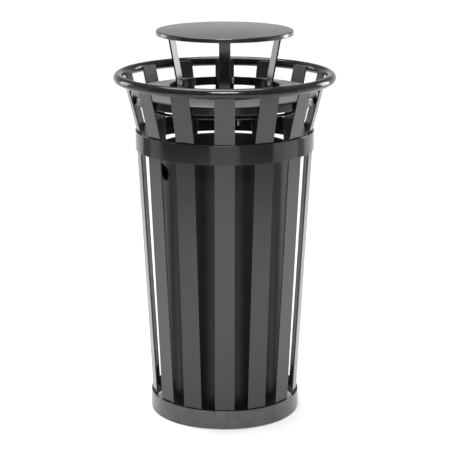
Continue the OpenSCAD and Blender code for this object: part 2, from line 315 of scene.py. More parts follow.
def buildDustAndSheenFilm():
    # thin dust that settles on what faces up, broken up by handling; where its amount is raised on the lid deck it is
    # a painted sheen
    group, given, put = startGroup("dustAndSheenFilm", [("Amount", 0.3), ("Patch Scale", 22.0)], ["Mask"])
    geometry = group.nodes.new("ShaderNodeNewGeometry")
    split = group.nodes.new("ShaderNodeSeparateXYZ")
    group.links.new(geometry.outputs["Normal"], split.inputs["Vector"])
    level = stepMask(group, split.outputs["Z"], 0.25, 0.95)
    patches = stepMask(group, noiseAt(group, given.outputs["Patch Scale"], 5.0, 0.62), 0.32, 0.72)
    specks = stepMask(group, noiseAt(group, 900.0, 2.0), 0.55, 0.75)
    blend = maths(group, "ADD", maths(group, "MULTIPLY", patches, 0.75), maths(group, "MULTIPLY", specks, 0.35))
    mask = maths(group, "MULTIPLY", maths(group, "MULTIPLY", level, blend), given.outputs["Amount"], True)
    group.links.new(mask, put.inputs["Mask"])
    return group


def buildEdgeWearAndHighlight():
    # edges polished and thinned by handling, and lightened as a painted highlight along the rounded edges
    group, given, put = startGroup("edgeWearAndPaintedHighlight", [("Strength", 0.5), ("Break Up", 60.0)], ["Mask"])
    geometry = group.nodes.new("ShaderNodeNewGeometry")
    edge = stepMask(group, geometry.outputs["Pointiness"], 0.515, 0.60)
    patches = stepMask(group, noiseAt(group, given.outputs["Break Up"], 4.0, 0.6), 0.35, 0.65)
    mask = maths(group, "MULTIPLY", maths(group, "MULTIPLY", edge, patches), given.outputs["Strength"], True)
    group.links.new(mask, put.inputs["Mask"])
    return group


def buildRainMarks():
    # faint upright runs left by rain, for roughness only
    group, given, put = startGroup("rainMarks", [("Amount", 0.3)], ["Mask"])
    runs = stepMask(group, noiseAt(group, 70.0, 3.0, 0.6, stretch=(1, 1, 0.035)), 0.45, 0.75)
    drops = stepMask(group, noiseAt(group, 150.0, 2.0, 0.5), 0.58, 0.72)
    both = maths(group, "ADD", runs, maths(group, "MULTIPLY", drops, 0.5))
    group.links.new(maths(group, "MULTIPLY", both, given.outputs["Amount"], True), put.inputs["Mask"])
    return group


groups = {"peel": buildOrangePeel(), "dustAndSheen": buildDustAndSheenFilm(), "wearAndHighlight": buildEdgeWearAndHighlight(), "rain": buildRainMarks()}


def placeGroup(tree, key, values):
    node = tree.nodes.new("ShaderNodeGroup")
    node.node_tree = groups[key]
    for label, value in values.items():
        node.inputs[label].default_value = value
    return node


def mixColour(tree, factor, first, second):
    node = tree.nodes.new("ShaderNodeMix")
    node.data_type = "RGBA"
    tree.links.new(factor, node.inputs["Factor"])
    for name, value in (("A", first), ("B", second)):
        socket = [s for s in node.inputs if s.name == name and s.type == "RGBA"][0]
        if isinstance(value, tuple):
            socket.default_value = (*value, 1)
        else:
            tree.links.new(value, socket)
    return [s for s in node.outputs if s.type == "RGBA"][0]


def startMaterial(name):
    material = bpy.data.materials.new(name)
    material.use_nodes = True
    tree = material.node_tree
    shader = tree.nodes["Principled BSDF"]
    return material, tree, shader


def bumpFrom(tree, height, distance, strength, shader):
    bump = tree.nodes.new("ShaderNodeBump")
    bump.inputs["Distance"].default_value = distance
    bump.inputs["Strength"].default_value = strength
    tree.links.new(height, bump.inputs["Height"])
    tree.links.new(bump.outputs["Normal"], shader.inputs["Normal"])


def powderCoat(name, look):
    material, tree, shader = startMaterial(name)
    peel = placeGroup(tree, "peel", {"Peel Scale": look["peel"], "Grain": look["grain"], "Waviness": look["wave"]})
    dustAndSheen = placeGroup(tree, "dustAndSheen", {"Amount": look["dustAndSheen"], "Patch Scale": look["patches"]})
    wearAndHighlight = placeGroup(tree, "wearAndHighlight", {"Strength": look["wearAndHighlight"], "Break Up": look["wearAndHighlightPatches"]})
    rain = placeGroup(tree, "rain", {"Amount": look["rain"]})
    colour = mixColour(tree, stepMask(tree, peel.outputs["Mottle"], 0.3, 0.7), look["dark"], look["light"])
    # the edge mask lightens the coat: partly edge wear, partly a painted highlight on the rounded edges
    colour = mixColour(tree, wearAndHighlight.outputs["Mask"], colour, look["wornAndHighlightedEdge"])
    colour = mixColour(tree, dustAndSheen.outputs["Mask"], colour, look["dustAndSheenColour"])
    tree.links.new(colour, shader.inputs["Base Color"])
    rough = maths(tree, "MULTIPLY_ADD", peel.outputs["Mottle"], look["roughSwing"])
    rough.node.inputs[2].default_value = look["rough"] - look["roughSwing"] / 2
    rough = maths(tree, "ADD", rough, maths(tree, "MULTIPLY", rain.outputs["Mask"], look["rainRough"]))
    rough = maths(tree, "ADD", rough, maths(tree, "MULTIPLY", dustAndSheen.outputs["Mask"], look["dustRough"]), True)
    tree.links.new(rough, shader.inputs["Roughness"])
    shader.inputs["IOR"].default_value = look["ior"]
    shader.inputs["Sheen Weight"].default_value = look["sheen"]
    shader.inputs["Sheen Roughness"].default_value = look["sheenRough"]
    bumpFrom(tree, peel.outputs["Height"], look["bump"], look["bumpStrength"], shader)
    return material


coatLook = {"peel": 420.0, "grain": 0.22, "wave": 6.0, "dustAndSheen": 0.06, "patches": 22.0, "wearAndHighlight": 0.22, "rain": 0.25,
            "dark": (0.0055, 0.0055, 0.0054), "light": (0.0085, 0.0085, 0.0082), "wornAndHighlightedEdge": (0.045, 0.045, 0.046),
            "dustAndSheenColour": (0.30, 0.29, 0.27), "rough": 0.24, "roughSwing": 0.08, "rainRough": 0.12, "dustRough": 0.45,
            "wearAndHighlightPatches": 60.0, "ior": 1.60, "sheen": 0.0, "sheenRough": 0.28, "bump": 0.00004, "bumpStrength": 0.6}
frameCoat = powderCoat("framePowderCoat", coatLook)
bandCoat = powderCoat("bandPowderCoat", {**coatLook, "rough": 0.13, "roughSwing": 0.05})
rimCoat = powderCoat("rimPowderCoat", {**coatLook, "rough": 0.11, "roughSwing": 0.05, "wave": 9.0, "ior": 1.45})
lidCoat = powderCoat("lidPowderCoat", {**coatLook, "rough": 0.15, "roughSwing": 0.06, "ior": 1.50})
# lit copy of the lid coat for the deck top: its raised dust film is painted sheen, lighter than the skirt because of
# how the overhead light falls
deckDustAndSheenCoat = powderCoat("deckDustAndSheenPowderCoat", {**coatLook, "rough": 0.30, "roughSwing": 0.06, "ior": 1.75, "sheen": 1.0,
                                         "dustAndSheen": 0.18})
# base band copy of the coat: its lighter tone is painted light, standing in for the bright floor's bounce light close
# below; its dust film is dust
baseFloorLitCoat = powderCoat("baseFloorLitPowderCoat", {**coatLook, "dustAndSheen": 0.12, "dark": (0.036, 0.0357, 0.035),
                                         "light": (0.054, 0.0535, 0.052)})
capCoat = powderCoat("capPowderCoat", {**coatLook, "rough": 0.20, "grain": 0.5, "peel": 520.0, "dustAndSheen": 0.05,
                                       "dark": (0.009, 0.0088, 0.0085), "light": (0.013, 0.0127, 0.0123)})
weldCoat = powderCoat("weldPowderCoat", {**coatLook, "rough": 0.26, "wave": 0.5, "wearAndHighlight": 0.1})


def mouldedPlastic(name, look):
    # fine spark-eroded grain, faint upright flow lines and scuffs
    material, tree, shader = startMaterial(name)
    dustAndSheen = placeGroup(tree, "dustAndSheen", {"Amount": look["dustAndSheen"], "Patch Scale": look["patches"]})
    rain = placeGroup(tree, "rain", {"Amount": look["scuffs"]})
    mottle = noiseAt(tree, 18.0, 4.0, 0.55)
    flow = noiseAt(tree, 40.0, 3.0, 0.5, stretch=(1, 1, 0.06))
    grain = noiseAt(tree, look["grain"], 3.0, 0.6)
    colour = mixColour(tree, stepMask(tree, mottle, 0.3, 0.7), look["dark"], look["light"])
    colour = mixColour(tree, dustAndSheen.outputs["Mask"], colour, look["dustAndSheenColour"])
    tree.links.new(colour, shader.inputs["Base Color"])
    rough = maths(tree, "ADD", maths(tree, "MULTIPLY", flow, 0.12), look["rough"] - 0.06)
    rough = maths(tree, "SUBTRACT", rough, maths(tree, "MULTIPLY", rain.outputs["Mask"], 0.15), True)
    tree.links.new(rough, shader.inputs["Roughness"])
    shader.inputs["IOR"].default_value = look["ior"]
    height = maths(tree, "ADD", grain, maths(tree, "MULTIPLY", flow, look["flow"]))
    bumpFrom(tree, height, look["bump"], 0.7, shader)
    return material


plasticLook = {"dark": (0.0030, 0.0030, 0.0028), "light": (0.0050, 0.0050, 0.0046), "dustAndSheenColour": (0.26, 0.25, 0.23),
               "dustAndSheen": 0.12, "patches": 14.0, "scuffs": 0.5, "grain": 1100.0, "rough": 0.46, "ior": 1.42,
               "flow": 2.0, "bump": 0.00008}
linerPlastic = mouldedPlastic("linerPlastic", plasticLook)
glideNylon = mouldedPlastic("glideNylon", {**plasticLook, "dark": (0.035, 0.035, 0.036), "light": (0.05, 0.05, 0.052),
                                           "dustAndSheen": 0.3, "scuffs": 0.8, "grain": 700.0, "rough": 0.5, "flow": 0.5})


def platedSteel(name, look):
    # zinc plate: fine spangle, fine grain and a little white bloom in patches
    material, tree, shader = startMaterial(name)
    spangle = tree.nodes.new("ShaderNodeTexVoronoi")
    spangle.inputs["Scale"].default_value = look["spangle"]
    place = tree.nodes.new("ShaderNodeTexCoord")
    tree.links.new(place.outputs["Object"], spangle.inputs["Vector"])
    bloom = stepMask(tree, noiseAt(tree, 240.0, 4.0, 0.6), 0.5, 0.75)
    tint = stepMask(tree, spangle.outputs["Distance"], 0.0, 0.9)
    colour = mixColour(tree, tint, look["dark"], look["light"])
    colour = mixColour(tree, bloom, colour, look["bloom"])
    tree.links.new(colour, shader.inputs["Base Color"])
    rough = maths(tree, "ADD", maths(tree, "MULTIPLY", bloom, 0.25), look["rough"], True)
    tree.links.new(rough, shader.inputs["Roughness"])
    shader.inputs["Metallic"].default_value = 1.0
    bumpFrom(tree, noiseAt(tree, 1800.0, 3.0, 0.6), 0.00004, 0.5, shader)
    return material


zincPlate = platedSteel("zincPlate", {"spangle": 700.0, "dark": (0.42, 0.43, 0.45), "light": (0.62, 0.63, 0.65),
                                      "bloom": (0.55, 0.55, 0.55), "rough": 0.28})
print("materials made:", len(bpy.data.materials))


# frame: rim tube, bands, slats and their welds, in metres

slatSizes = {"thick": 0.004, "edge": 0.0010, "bandBend": 0.030, "flareBend": 0.016, "gap": 0.0002}
bandSizes = {"thick": 0.004, "edge": 0.0009, "segments": 224, "seamBearing": 103.0}
rimSizes = {"segments": 224, "sides": 32, "seamBearing": 103.0, "seamRadius": 0.0019, "seamSink": 0.0011}
weldLook = {"radius": 0.0026, "ripple": 0.0042, "depth": 0.16, "wander": 0.00018, "taper": 0.006}
seamLook = {**weldLook, "radius": 0.0022}
chance = random.Random(14)

rimLow, rimHigh = heights("rim_tube")
rimTubeR = (rimHigh - rimLow) / 2
rimZ = (rimHigh + rimLow) / 2
rimR = outerRadius("rim_tube") - rimTubeR
waistOutR, baseOutR = outerRadius("waist_band"), outerRadius("base_band")
waistLow, waistHigh = heights("waist_band")
baseLow, baseHigh = heights("base_band")
slatWidth = 2 * outerRadius("slat_01")
slatFoot, slatTop = heights("slat_01")
slatNodes = nodeNames("slat_")
slatWaistR = seatRadius(waistOutR - bandSizes["thick"], slatWidth, slatSizes["gap"])
slatBaseR = seatRadius(baseOutR - bandSizes["thick"], slatWidth, slatSizes["gap"])
slatTipR = -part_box("slat_01")[0][1]  # front slat, so its lowest Y is its flared end


def buildRimTube():
    profile = arcPoints(rimR, rimZ, rimTubeR, 0, 360 - 360 / rimSizes["sides"], rimSizes["sides"] - 1)
    verts, faces = revolve(profile, rimSizes["segments"])
    newObject("rimTube", verts, faces, "frame", "frame_coat", rimCoat, ("rim_tube",))


def buildBand(name, node, coat, outR, low, high):
    profile = roundedBox(outR - bandSizes["thick"], low, outR, high, bandSizes["edge"])
    verts, faces = revolve(profile, bandSizes["segments"])
    newObject(name, verts, faces, "frame", "frame_coat", coat, (node,))


def buildSlats():
    tip = (slatTipR, slatTop)
    corners = [(slatBaseR, slatFoot), (slatBaseR, baseHigh), (slatWaistR, waistLow), (slatWaistR, waistHigh), tip]
    gentle = slatSizes["bandBend"]
    path = bentPath(corners, [0, gentle, gentle, slatSizes["flareBend"], 0])
    for index, node in enumerate(slatNodes):
        bearing = -90 + index * 360 / len(slatNodes)
        verts, faces = sweepBar(path, slatWidth, slatSizes["thick"], slatSizes["edge"], bearing)
        newObject("slatBar" + node[-2:], verts, faces, "frame", "frame_coat", frameCoat, (node,))


def buildWelds():
    rimBeads, bandBeads = [], []
    half = slatWidth / 2
    for index in range(len(slatNodes)):
        bearing = -90 + index * 360 / len(slatNodes)
        spin = Matrix.Rotation(math.radians(bearing), 3, "Z")
        top = (slatTipR - 0.0010, slatTop + 0.0004)
        rimBeads.append(weldBead(spin @ Vector((top[0], -half + 0.003, top[1])),
                                 spin @ Vector((top[0], half - 0.003, top[1])), weldLook, chance))
        for side in (-1, 1):
            s = side * (half + 0.0004)
            for r, low, high in ((slatWaistR, waistLow, waistHigh), (slatBaseR, slatFoot, baseHigh)):
                bandBeads.append(weldBead(spin @ Vector((r - 0.0012, s, low + 0.008)),
                                          spin @ Vector((r - 0.0012, s, high - 0.008)), weldLook, chance))
    for outR, low, high in ((waistOutR, waistLow, waistHigh), (baseOutR, baseLow, baseHigh)):
        spin = Matrix.Rotation(math.radians(bandSizes["seamBearing"]), 3, "Z")
        bandBeads.append(weldBead(spin @ Vector((outR - 0.0015, 0, low + 0.001)),
                                  spin @ Vector((outR - 0.0015, 0, high - 0.001)), seamLook, chance))
    spin = Matrix.Rotation(math.radians(rimSizes["seamBearing"]), 3, "Z")
    around = rimTubeR - rimSizes["seamSink"]
    ring = [(rimR + around * math.cos(a), rimZ + around * math.sin(a))
            for a in [2 * math.pi * k / 40 for k in range(40)]]
    seamPoints = [spin @ Vector((r, 0, z)) for r, z in ring + ring[:1]]
    radii = [rimSizes["seamRadius"] * (1 + 0.12 * math.sin(k * 2.1)) for k in range(len(seamPoints))]
    rimBeads.append(sweepTube(seamPoints, radii, 8))
    newObject("rimWelds", *joinParts(rimBeads), "frame", "frame_coat", weldCoat)
    newObject("bandWelds", *joinParts(bandBeads), "frame", "frame_coat", weldCoat)


buildRimTube()
buildBand("waistBand", "waist_band", bandCoat, waistOutR, waistLow, waistHigh)
buildBand("baseBand", "base_band", baseFloorLitCoat, baseOutR, baseLow, baseHigh)
buildSlats()
buildWelds()
print("frame bars built:", len(slatNodes), "slats")


# bolts, nuts and eyes of the frame and the lid; each is drawn along +Z from its seat

boltSizes = {"shank": 0.003, "head": 0.0055, "headHigh": 0.0033, "socket": 0.0019, "flange": 0.0065,
             "flangeHigh": 0.0014, "flats": 0.010, "nutHigh": 0.005, "show": 0.002, "chamfer": 0.0006, "pitch": 0.001,
             "eyeInner": 0.005, "wire": 0.004}


def boltPart(length):
    shank, head, high = boltSizes["shank"], boltSizes["head"], boltSizes["headHigh"]
    socket = boltSizes["socket"]
    dome = [(head * math.cos(a), -high * (0.25 + 0.75 * math.sin(a))) for a in
            [math.radians(k * 9) for k in range(0, 9)]]
    profile = ([(0, -high + 0.0017), (socket, -high + 0.0015), (socket + 0.0002, -high * 0.98)] + dome[::-1]
               + [(head, -0.0003), (head - 0.0003, 0), (shank, 0), (shank, length - 0.0006),
                  (shank - 0.0006, length), (0, length)])
    return revolve(profile, 32, closed=False)


def threadRod(low, high, radius):
    # shank with its turns cut as rings
    pitch, profile = boltSizes["pitch"], [(0, low), (radius - 0.0005, low)]
    z = low + pitch / 2
    while z < high - pitch:
        profile += [(radius - 0.0004, z), (radius, z + pitch * 0.35), (radius - 0.0004, z + pitch * 0.7)]
        z += pitch
    profile += [(radius - 0.0006, high), (0, high)]
    return revolve(profile, 24, closed=False)


def nutPart():
    flange, thin = boltSizes["flange"], boltSizes["flangeHigh"]
    across, high, bore = boltSizes["flats"], boltSizes["nutHigh"], boltSizes["shank"] + 0.0001
    base = revolve([(bore, 0), (flange - 0.0003, 0), (flange, 0.0003), (flange, 0.0008),
                    (across / 2 + 0.0004, thin), (bore, thin)], 36)
    verts, rings, sides = [], [], 6
    corner = across / 2 / math.cos(math.pi / 6)
    chamfer = boltSizes["chamfer"]
    for z, grow, inner in ((thin - 0.0002, 0, False), (thin + high - chamfer, 0, False),
                           (thin + high, 0.0007, False), (thin + high, 0, True), (thin - 0.0002, 0, True)):
        ring = []
        for k in range(sides * 6):
            a = 2 * math.pi * k / (sides * 6)
            local = (a + math.pi / 6) % (math.pi / 3) - math.pi / 6
            hexR = across / 2 / math.cos(local)
            r = bore if inner else min(hexR, corner - grow * 1.2) - grow * 0.4
            ring.append(Vector((r * math.cos(a), r * math.sin(a), z)))
        rings.append(ring)
        verts += ring
    faces = gridFaces(len(rings), sides * 6, True, True)
    return joinParts([base, (verts, faces)])


def eyePart(length):
    inner, wire = boltSizes["eyeInner"], boltSizes["wire"]
    loopR, centre = inner + wire / 2, -(inner + wire) - wire / 2
    loop = [Vector((loopR * math.sin(a), 0, centre + loopR * math.cos(a))) for a in
            [2 * math.pi * k / 40 for k in range(41)]]
    ring = sweepTube(loop, [wire / 2] * 41, 14)
    neck = revolve([(0, -wire), (0.0026, -wire), (0.0032, -wire * 0.4), (0.0030, 0.0005), (0, 0.0005)], 24, False)
    return joinParts([ring, neck, threadRod(0.0, length, boltSizes["shank"])])


def zincPiece(name, node, body, parts):
    newObject(name, *joinParts(parts), body, "fastener_steel", zincPlate, (node,))


# base: spider plate, glides and their screws

glideSizes = {"edge": 0.0016, "bearing": 45.0, "chamfer": 0.002}


def carryOver(node, material, bevel):
    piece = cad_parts[node]
    piece.data.materials.clear()
    piece.data.materials.append(material)
    if bevel:
        soften = piece.modifiers.new("softEdges", "BEVEL")
        soften.width = bevel
        soften.segments = 2
        soften.limit_method = "ANGLE"
        soften.angle_limit = math.radians(40)
    return piece


def buildBase():
    carryOver("base_spider", frameCoat, 0.0008)
    low, high = heights("glide_1")
    glideR = (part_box("glide_1")[1][0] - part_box("glide_1")[0][0]) / 2
    place = midOf("glide_1")
    reach = math.hypot(place[0], place[1])
    e, c = glideSizes["edge"], glideSizes["chamfer"]
    profile = [(0, low), (glideR - c - e, low), (glideR - c, low + e * 0.3)]
    profile += [(glideR, low + c + 0.0004), (glideR, high - e)]
    profile += arcPoints(glideR - e, high - e, e, 0, 90, 4)[1:] + [(0, high)]
    disc = revolve(profile, 48, closed=False)
    screwLow, screwHigh = heights("glide_screws")
    seat = screwHigh - boltSizes["headHigh"]
    screw = boltPart(seat - screwLow)
    flip = ([Vector((v.x, -v.y, -v.z)) for v in screw[0]], screw[1])
    screws = []
    for index, node in enumerate(nodeNames("glide_")[:4]):
        bearing = glideSizes["bearing"] + 90 * index
        newObject("glideFoot%d" % (index + 1), *turned(disc, bearing, reach), "frame", "glide_nylon", glideNylon,
                  ("glide_%d" % (index + 1),))
        screws.append(turned(flip, bearing, reach, seat))
    zincPiece("glideScrews", "glide_screws", "frame", screws)


buildBase()


def buildEye(name, boltNode, nutNode, body, inR, outR):
    place = midOf(nutNode)
    bearing = math.degrees(math.atan2(place[1], place[0]))
    z = place[2]
    reach = outR + 0.0001
    stack = boltSizes["flangeHigh"] + boltSizes["nutHigh"] + boltSizes["show"]
    zincPiece(name + "Bolt", boltNode, body, [outwards(eyePart(outR - inR + stack), bearing, inR - 0.0002, z)])
    zincPiece(name + "Nut", nutNode, body, [outwards(nutPart(), bearing, reach, z)])


buildEye("waistEye", "waist_eye_bolt", "waist_eye_nut", "frame", waistOutR - bandSizes["thick"], waistOutR)
print("base and frame hardware built")


# liner

linerSizes = {"wall": 0.003, "lip": 0.009, "lipDeep": 0.016, "boss": 0.045, "bossHigh": 0.020,
              "handWide": 0.098, "handHigh": 0.043, "handDrop": 0.065, "handBearing": 194.0,
              "bead": 0.0014, "foot": 0.010, "lipRound": 0.004, "segments": 192}


def linerBaseRadius():
    low, high = heights("liner")
    best = 0.0
    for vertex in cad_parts["liner"].data.vertices:
        if abs(vertex.co.z - low) < linerSizes["foot"]:
            best = max(best, math.hypot(vertex.co.x, vertex.co.y))
    return best


def buildLiner():
    low, high = heights("liner")
    lipR, baseR = outerRadius("liner"), linerBaseRadius()
    wall, boss, rise = linerSizes["wall"], linerSizes["boss"], linerSizes["bossHigh"]
    topR = lipR - linerSizes["lip"]
    foot, turnOver = linerSizes["foot"], linerSizes["lipRound"]
    outline = [(0, low + rise), (boss - 0.004, low + rise)]
    outline += arcPoints(boss - 0.002, low + rise - 0.003, 0.003, 80, 20, 4) + [(boss + 0.005, low + 0.001)]
    outline += [(boss + 0.008, low), (baseR - foot, low)]
    outline += arcPoints(baseR - foot, low + foot, foot, -85, -2, 8)
    outline += [(baseR + (topR - baseR) * k / 12, low + foot + (high - wall - low - foot) * k / 12)
                for k in range(1, 12)]
    outline += [(topR, high - wall - 0.002), (topR + 0.0015, high - wall)]
    outline += [(lipR - wall - 0.0012, high - wall), (lipR - wall, high - wall - 0.0012)]
    lipLow = high - linerSizes["lipDeep"]
    outline += [(lipR - wall, lipLow + 0.001), (lipR - wall + 0.0010, lipLow), (lipR - 0.0010, lipLow)]
    outline += [(lipR, lipLow + 0.001)]
    outline += arcPoints(lipR - turnOver, high - turnOver, turnOver, 0, 90, 6)
    outline += arcPoints(topR - wall + turnOver, high - turnOver, turnOver, 90, 178, 6)
    inner = [(baseR - wall + (topR - baseR) * k / 12, low + foot + (high - wall - low - foot) * k / 12)
             for k in range(11, 0, -1)]
    outline += inner + arcPoints(baseR - foot, low + foot, foot - wall, 0, -90, 8)
    outline += [(boss + 0.010, low + wall), (boss + 0.007, low + wall + 0.001)]
    outline += arcPoints(boss - 0.001, low + rise - 0.001, 0.0045, 15, 85, 4)
    outline += [(boss - 0.005, low + rise + wall), (0, low + rise + wall)]
    shell = newObject("linerShell", *revolve(outline, linerSizes["segments"], closed=False), "liner",
                      "liner_plastic", linerPlastic, ("liner",))
    holeZ = high - linerSizes["handDrop"]
    wideHalf = (linerSizes["handWide"] - linerSizes["handHigh"]) / 2
    radius = linerSizes["handHigh"] / 2
    stadium = arcPoints(wideHalf, 0, radius, -90, 90, 16) + arcPoints(-wideHalf, 0, radius, 90, 270, 16)
    beads, cutters = [], []
    for turn in (0, 180):
        bearing = linerSizes["handBearing"] + turn
        count = len(stadium)
        cutVerts = [Vector((r, y, z + holeZ)) for r in (baseR * 0.6, lipR * 1.3) for y, z in stadium]
        cutFaces = gridFaces(2, count, False, True) + [tuple(range(count)), tuple(range(count, 2 * count))]
        cutters.append(turned((cutVerts, cutFaces), bearing))
        slope = (topR - baseR) / (high - low)
        loop = []
        for y, z in stadium + stadium[:1]:
            wallR = baseR + slope * (holeZ + z - low) - 0.0004
            loop.append(Vector((math.sqrt(wallR * wallR - y * y), y, holeZ + z)))
        beads.append(turned(sweepTube(loop, [linerSizes["bead"]] * len(loop), 10), bearing))
        inLoop = [Vector((p.x - linerSizes["wall"] + 0.0008, p.y, p.z)) for p in loop]
        beads.append(turned(sweepTube(inLoop, [linerSizes["bead"] * 0.8] * len(loop), 10), bearing))
    cutPiece(shell, joinParts(cutters))
    newObject("handHoleBeads", *joinParts(beads), "liner", "liner_plastic", linerPlastic)


def cutPiece(piece, part):
    mesh = bpy.data.meshes.new("cutter")
    mesh.from_pydata([tuple(v) for v in part[0]], [], part[1])
    bm = bmesh.new()
    bm.from_mesh(mesh)
    bmesh.ops.recalc_face_normals(bm, faces=bm.faces)
    bm.to_mesh(mesh)
    bm.free()
    cutter = bpy.data.objects.new("cutter", mesh)
    scene.collection.objects.link(cutter)
    cut = piece.modifiers.new("cut", "BOOLEAN")
    cut.object = cutter
    cut.solver = "EXACT"
    piece.modifiers.remove(piece.modifiers["evenShading"])
    bpy.context.view_layer.update()
    result = bpy.data.meshes.new_from_object(piece.evaluated_get(bpy.context.evaluated_depsgraph_get()))
    piece.modifiers.clear()
    piece.data = result
    bpy.data.objects.remove(cutter)
    result.set_sharp_from_angle(angle=math.radians(35))


buildLiner()
print("liner built")


# lid: deck, collar, ring, hangers, legs and rain cap

lidSizes = {"sheet": 0.002, "round": 0.006, "hem": 0.0022, "dustAndSheenTilt": 0.6, "collarThick": 0.003,
            "edge": 0.0011, "gap": 0.0002, "hangerEdge": 0.0008, "beadRadius": 0.0021,
            "hangerThick": 0.004, "hangerBearing": -30.0,
            "legThick": 0.005, "legWide": 0.030, "footBend": 0.020, "legBend": 0.010,
            "legBearing": -90.0, "tab": 0.036, "capRound": 0.0035, "capLip": 0.012, "segments": 224}

deckLow, deckHigh = heights("lid_deck")
deckR = outerRadius("lid_deck")
collarLow, collarHigh = heights("lid_collar")
collarOutR = outerRadius("lid_collar")
capLow, capHigh = heights("rain_cap")
capR = outerRadius("rain_cap")


def buildDeck():
    sheet, bend, hem = lidSizes["sheet"], lidSizes["round"], lidSizes["hem"]
    inR = collarOutR + lidSizes["gap"]
    centre = (deckR - bend, deckHigh - bend)
    top = [(inR + (deckR - bend - inR) * k / 6, deckHigh) for k in range(7)]
    top += arcPoints(*centre, bend, 84, 0, 12)
    hemCentre = (deckR - hem, deckLow + hem)
    outer = [(deckR, deckLow + 2 * hem)] + arcPoints(*hemCentre, hem, 0, -250, 20)
    inner = [(deckR - sheet, deckLow + 2 * hem + 0.002)]
    under = arcPoints(*centre, bend - sheet, 0, 90, 10)
    under += [(inR + (deckR - bend - inR) * k / 6, deckHigh - sheet) for k in range(5, -1, -1)]
    deck = newObject("lidDeck", *revolve(top + outer + inner + under, lidSizes["segments"]), "lid", "lid_coat",
                     lidCoat, ("lid_deck",))
    deck.data.materials.append(deckDustAndSheenCoat)
    for face in deck.data.polygons:
        if face.normal.z > lidSizes["dustAndSheenTilt"]:
            face.material_index = 1    # the flat top takes the deck copy, whose dust film is partly dust and partly painted sheen for the light the top catches; the skirt keeps the plain coat


def buildCollar():
    thick = lidSizes["collarThick"]
    profile = roundedBox(collarOutR - thick, collarLow, collarOutR, collarHigh, lidSizes["edge"])
    newObject("lidCollar", *revolve(profile, lidSizes["segments"]), "lid", "lid_coat", lidCoat, ("lid_collar",))
    fillet = [(collarOutR - 0.0004, deckHigh - 0.0004), (collarOutR + 0.0034, deckHigh - 0.0004),
              (collarOutR + 0.0024, deckHigh + 0.0006), (collarOutR + 0.0009, deckHigh + 0.0019),
              (collarOutR - 0.0004, deckHigh + 0.0033)]
    beads = [revolve(fillet, lidSizes["segments"])]
    spin = Matrix.Rotation(math.radians(bandSizes["seamBearing"]), 3, "Z")
    beads.append(weldBead(spin @ Vector((collarOutR - 0.0022, 0, collarLow + 0.001)),
                          spin @ Vector((collarOutR - 0.0022, 0, collarHigh - 0.0012)),
                          seamLook, chance))
    newObject("collarWelds", *joinParts(beads), "lid", "lid_coat", weldCoat)


def buildRing():
    low, high = heights("lid_ring")
    rod = (high - low) / 2
    ringR = outerRadius("lid_ring") - rod
    profile = arcPoints(ringR, low + rod, rod, 0, 337.5, 15)
    newObject("lidRing", *revolve(profile, lidSizes["segments"]), "lid", "lid_coat", lidCoat, ("lid_ring",))
    beads = []
    for index, node in enumerate(nodeNames("ring_hanger_")):
        hangLow, hangHigh = heights(node)
        hangWide = 2 * outerRadius("ring_hanger_2")
        bearing = lidSizes["hangerBearing"] + 120 * index
        faceR = seatRadius(ringR - rod, hangWide, lidSizes["gap"])
        path = [(faceR, hangLow, 0.0), (faceR, hangHigh, 0.0)]
        bar = sweepBar(path, hangWide, lidSizes["hangerThick"], lidSizes["hangerEdge"], bearing)
        newObject("ringHanger%d" % (index + 1), *bar, "lid", "lid_coat", lidCoat, (node,))
        spin = Matrix.Rotation(math.radians(bearing), 3, "Z")
        half = hangWide / 2
        for z, r in ((hangHigh - 0.0008, faceR + 0.0012), (low + rod, faceR + 0.0010)):
            beads.append(weldBead(spin @ Vector((r, -half + 0.002, z)), spin @ Vector((r, half - 0.002, z)),
                                  {**weldLook, "radius": lidSizes["beadRadius"]}, chance))
    newObject("hangerWelds", *joinParts(beads), "lid", "lid_coat", weldCoat)


def buildLegs():
    wide, thick = lidSizes["legWide"], lidSizes["legThick"]
    footR = seatRadius(collarOutR - lidSizes["collarThick"], wide, lidSizes["gap"])
    low, high = heights("cap_leg_1")
    topR = -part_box("cap_leg_1")[0][1]
    corners = [(footR, low), (footR, collarHigh + 0.004), (topR, high), (topR - lidSizes["tab"], high)]
    path = bentPath(corners, [0, lidSizes["footBend"], lidSizes["legBend"], 0], steps=10)
    bolts, nuts, studs, tabNuts = [], [], [], []
    boltZ = midOf("collar_bolts")[2]
    studLow, studHigh = heights("cap_studs")
    studR = topR - lidSizes["tab"] / 2 - thick / 2
    stack = boltSizes["flangeHigh"] + boltSizes["nutHigh"] + boltSizes["show"]
    tabNut = nutPart()
    tabNut = ([Vector((v.x, -v.y, -v.z)) for v in tabNut[0]], tabNut[1])
    for index, node in enumerate(nodeNames("cap_leg_")):
        bearing = lidSizes["legBearing"] + 120 * index
        newObject("capLeg%d" % (index + 1), *sweepBar(path, wide, thick, lidSizes["edge"], bearing), "lid",
                  "lid_coat", lidCoat, (node,))
        headR = footR - thick - 0.0001
        bolts.append(outwards(boltPart(collarOutR - headR + stack), bearing, headR, boltZ))
        nuts.append(outwards(nutPart(), bearing, collarOutR + 0.0001, boltZ))
        studs.append(turned(threadRod(studLow, studHigh, boltSizes["shank"]), bearing, studR))
        tabNuts.append(turned(tabNut, bearing, studR, high - thick - 0.0001))
    zincPiece("collarBolts", "collar_bolts", "lid", bolts)
    zincPiece("collarNuts", "collar_nuts", "lid", nuts)
    zincPiece("capStuds", "cap_studs", "lid", studs)
    zincPiece("capNuts", "cap_nuts", "lid", tabNuts)


